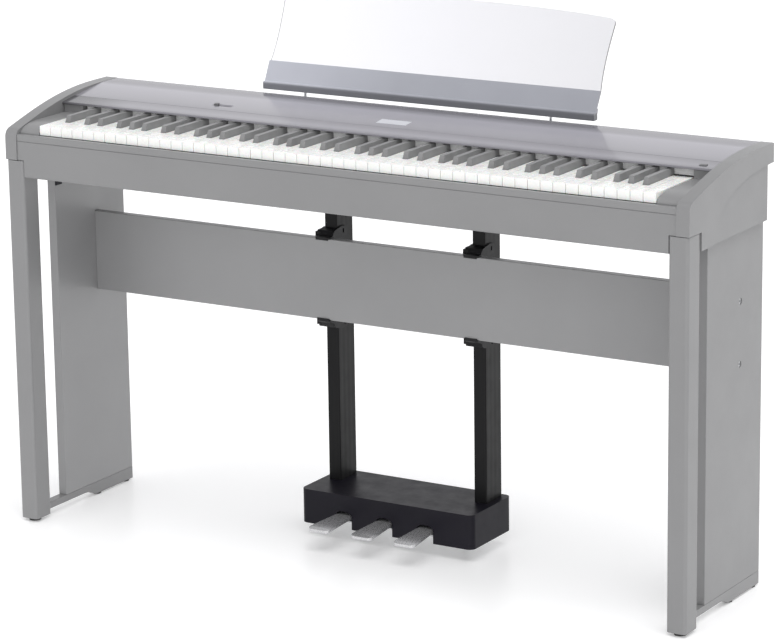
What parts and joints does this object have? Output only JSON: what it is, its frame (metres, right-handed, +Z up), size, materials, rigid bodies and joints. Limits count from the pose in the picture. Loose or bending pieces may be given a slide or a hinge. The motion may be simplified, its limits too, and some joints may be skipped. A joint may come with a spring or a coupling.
{
  "type": "digital piano on stand",
  "caption": "Full-size digital piano with hinged keys, a clear music rest and a hanging unit of foot pedals, on a two-leg board stand.",
  "frame": {"origin": "on the floor, under the middle of the piano's overall width and depth", "axes": "+X to the player's right, +Y away from the player, +Z up"},
  "size_m": [1.355, 0.414, 0.9538],
  "materials": {
    "grey_board": "satin grey-painted board",
    "gloss_cover": "glossy grey plastic",
    "window": "glossy pale display window",
    "black_plastic": "matte black",
    "black_metal": "semi-gloss black paint",
    "speaker_cone": "matte dark cone and frame",
    "circuit_board": "green circuit board",
    "steel": "plain steel",
    "pedal_metal": "satin plated pedals",
    "rubber": "black rubber",
    "strip": "blue-grey moulding",
    "clear_panel": "clear plastic with a faint lavender tint",
    "white_key": "semi-gloss off-white",
    "black_key": "satin black"
  },
  "bodies": {
    "frame": {"case_bottom": "grey_board", "key_slip": "grey_board", "cheek_left": "grey_board", "cheek_right": "grey_board", "end_blocks": "grey_board", "top_cover": "gloss_cover", "control_panel": "gloss_cover", "rear_panel": "grey_board", "display_window": "window", "jack_block": "black_plastic", "speakers": "speaker_cone", "main_board": "circuit_board", "key_frame": "black_plastic", "key_rod": "steel", "rest_holders": "black_plastic", "post_left": "grey_board", "post_right": "grey_board", "side_left": "grey_board", "side_right": "grey_board", "rail_left": "grey_board", "rail_right": "grey_board", "stand_feet": "rubber", "stretcher": "grey_board", "stand_bolts": "steel", "stand_brackets": "black_metal", "thumb_screws": "black_plastic", "pedal_box": "black_metal", "pedal_base": "steel", "pedal_axle": "steel", "pedal_stops": "rubber", "pedal_feet": "rubber", "pedal_post_left": "black_metal", "pedal_post_right": "black_metal", "clamps": "black_plastic", "clamp_screws": "steel"},
    "volume": {"volume_knob": "black_plastic"},
    "power": {"power_button": "black_plastic"},
    "rest": {"rest_pins": "steel", "rest_rail": "strip", "rest_panel": "clear_panel"},
    "left_pedal": {"pedal_left": "pedal_metal"},
    "middle_pedal": {"pedal_middle": "pedal_metal"},
    "right_pedal": {"pedal_right": "pedal_metal"},
    "key_c4": {"key_c4": "white_key"},
    "key_d4": {"key_d4": "white_key"},
    "key_e4": {"key_e4": "white_key"},
    "key_f4": {"key_f4": "white_key"},
    "key_g4": {"key_g4": "white_key"},
    "key_a4": {"key_a4": "white_key"},
    "key_b4": {"key_b4": "white_key"},
    "key_c4_sharp": {"key_c4_sharp": "black_key"},
    "key_d4_sharp": {"key_d4_sharp": "black_key"},
    "key_f4_sharp": {"key_f4_sharp": "black_key"},
    "key_g4_sharp": {"key_g4_sharp": "black_key"},
    "key_a4_sharp": {"key_a4_sharp": "black_key"},
    "white_keys_bass": {"white_keys_bass": "white_key"},
    "white_keys_treble": {"white_keys_treble": "white_key"},
    "black_keys_bass": {"black_keys_bass": "black_key"},
    "black_keys_treble": {"black_keys_treble": "black_key"}
  },
  "joints": [
    {"name": "key_c4_hinge", "type": "hinge", "parent": "frame", "child": "key_c4", "pos_m": [0, 0.03296, 0.727], "axis": [1, 0, 0], "range_deg": [0, 2.6], "stiffness_Nm_per_rad": 1.2, "springref_deg": -9.17},
    {"name": "key_d4_hinge", "type": "hinge", "parent": "frame", "child": "key_d4", "pos_m": [0, 0.03296, 0.727], "axis": [1, 0, 0], "range_deg": [0, 2.6], "stiffness_Nm_per_rad": 1.2, "springref_deg": -9.17},
    {"name": "key_e4_hinge", "type": "hinge", "parent": "frame", "child": "key_e4", "pos_m": [0, 0.03296, 0.727], "axis": [1, 0, 0], "range_deg": [0, 2.6], "stiffness_Nm_per_rad": 1.2, "springref_deg": -9.17},
    {"name": "key_f4_hinge", "type": "hinge", "parent": "frame", "child": "key_f4", "pos_m": [0, 0.03296, 0.727], "axis": [1, 0, 0], "range_deg": [0, 2.6], "stiffness_Nm_per_rad": 1.2, "springref_deg": -9.17},
    {"name": "key_g4_hinge", "type": "hinge", "parent": "frame", "child": "key_g4", "pos_m": [0, 0.03296, 0.727], "axis": [1, 0, 0], "range_deg": [0, 2.6], "stiffness_Nm_per_rad": 1.2, "springref_deg": -9.17},
    {"name": "key_a4_hinge", "type": "hinge", "parent": "frame", "child": "key_a4", "pos_m": [0, 0.03296, 0.727], "axis": [1, 0, 0], "range_deg": [0, 2.6], "stiffness_Nm_per_rad": 1.2, "springref_deg": -9.17},
    {"name": "key_b4_hinge", "type": "hinge", "parent": "frame", "child": "key_b4", "pos_m": [0, 0.03296, 0.727], "axis": [1, 0, 0], "range_deg": [0, 2.6], "stiffness_Nm_per_rad": 1.2, "springref_deg": -9.17},
    {"name": "key_c4_sharp_hinge", "type": "hinge", "parent": "frame", "child": "key_c4_sharp", "pos_m": [0, 0.03296, 0.727], "axis": [1, 0, 0], "range_deg": [0, 2.6], "stiffness_Nm_per_rad": 1, "springref_deg": -7.45},
    {"name": "key_d4_sharp_hinge", "type": "hinge", "parent": "frame", "child": "key_d4_sharp", "pos_m": [0, 0.03296, 0.727], "axis": [1, 0, 0], "range_deg": [0, 2.6], "stiffness_Nm_per_rad": 1, "springref_deg": -7.45},
    {"name": "key_f4_sharp_hinge", "type": "hinge", "parent": "frame", "child": "key_f4_sharp", "pos_m": [0, 0.03296, 0.727], "axis": [1, 0, 0], "range_deg": [0, 2.6], "stiffness_Nm_per_rad": 1, "springref_deg": -7.45},
    {"name": "key_g4_sharp_hinge", "type": "hinge", "parent": "frame", "child": "key_g4_sharp", "pos_m": [0, 0.03296, 0.727], "axis": [1, 0, 0], "range_deg": [0, 2.6], "stiffness_Nm_per_rad": 1, "springref_deg": -7.45},
    {"name": "key_a4_sharp_hinge", "type": "hinge", "parent": "frame", "child": "key_a4_sharp", "pos_m": [0, 0.03296, 0.727], "axis": [1, 0, 0], "range_deg": [0, 2.6], "stiffness_Nm_per_rad": 1, "springref_deg": -7.45},
    {"name": "white_keys_bass_hinge", "type": "hinge", "parent": "frame", "child": "white_keys_bass", "pos_m": [0, 0.03296, 0.727], "axis": [1, 0, 0], "range_deg": [0, 2.6], "stiffness_Nm_per_rad": 27.6, "springref_deg": -9.17},
    {"name": "white_keys_treble_hinge", "type": "hinge", "parent": "frame", "child": "white_keys_treble", "pos_m": [0, 0.03296, 0.727], "axis": [1, 0, 0], "range_deg": [0, 2.6], "stiffness_Nm_per_rad": 26.4, "springref_deg": -9.17},
    {"name": "black_keys_bass_hinge", "type": "hinge", "parent": "frame", "child": "black_keys_bass", "pos_m": [0, 0.03296, 0.727], "axis": [1, 0, 0], "range_deg": [0, 2.6], "stiffness_Nm_per_rad": 16, "springref_deg": -7.45},
    {"name": "black_keys_treble_hinge", "type": "hinge", "parent": "frame", "child": "black_keys_treble", "pos_m": [0, 0.03296, 0.727], "axis": [1, 0, 0], "range_deg": [0, 2.6], "stiffness_Nm_per_rad": 15, "springref_deg": -7.45},
    {"name": "left_pedal_hinge", "type": "hinge", "parent": "frame", "child": "left_pedal", "pos_m": [-0.088, 0.07696, 0.052], "axis": [1, 0, 0], "range_deg": [0, 3.8], "stiffness_Nm_per_rad": 12, "springref_deg": -6.88},
    {"name": "middle_pedal_hinge", "type": "hinge", "parent": "frame", "child": "middle_pedal", "pos_m": [-0.004, 0.07696, 0.052], "axis": [1, 0, 0], "range_deg": [0, 3.8], "stiffness_Nm_per_rad": 12, "springref_deg": -6.88},
    {"name": "right_pedal_hinge", "type": "hinge", "parent": "frame", "child": "right_pedal", "pos_m": [0.08, 0.07696, 0.052], "axis": [1, 0, 0], "range_deg": [0, 3.8], "stiffness_Nm_per_rad": 12, "springref_deg": -6.88},
    {"name": "rest_lift", "type": "slide", "parent": "frame", "child": "rest", "axis": [0, 0, 1], "range_m": [0, 0.035]},
    {"name": "volume_slide", "type": "slide", "parent": "frame", "child": "volume", "axis": [1, 0, 0], "range_m": [0, 0.026]},
    {"name": "power_press", "type": "slide", "parent": "frame", "child": "power", "axis": [0, 0.1471, -0.9891], "range_m": [0, 0.0012], "stiffness_N_per_m": 500, "springref_m": -0.001}
  ]
}
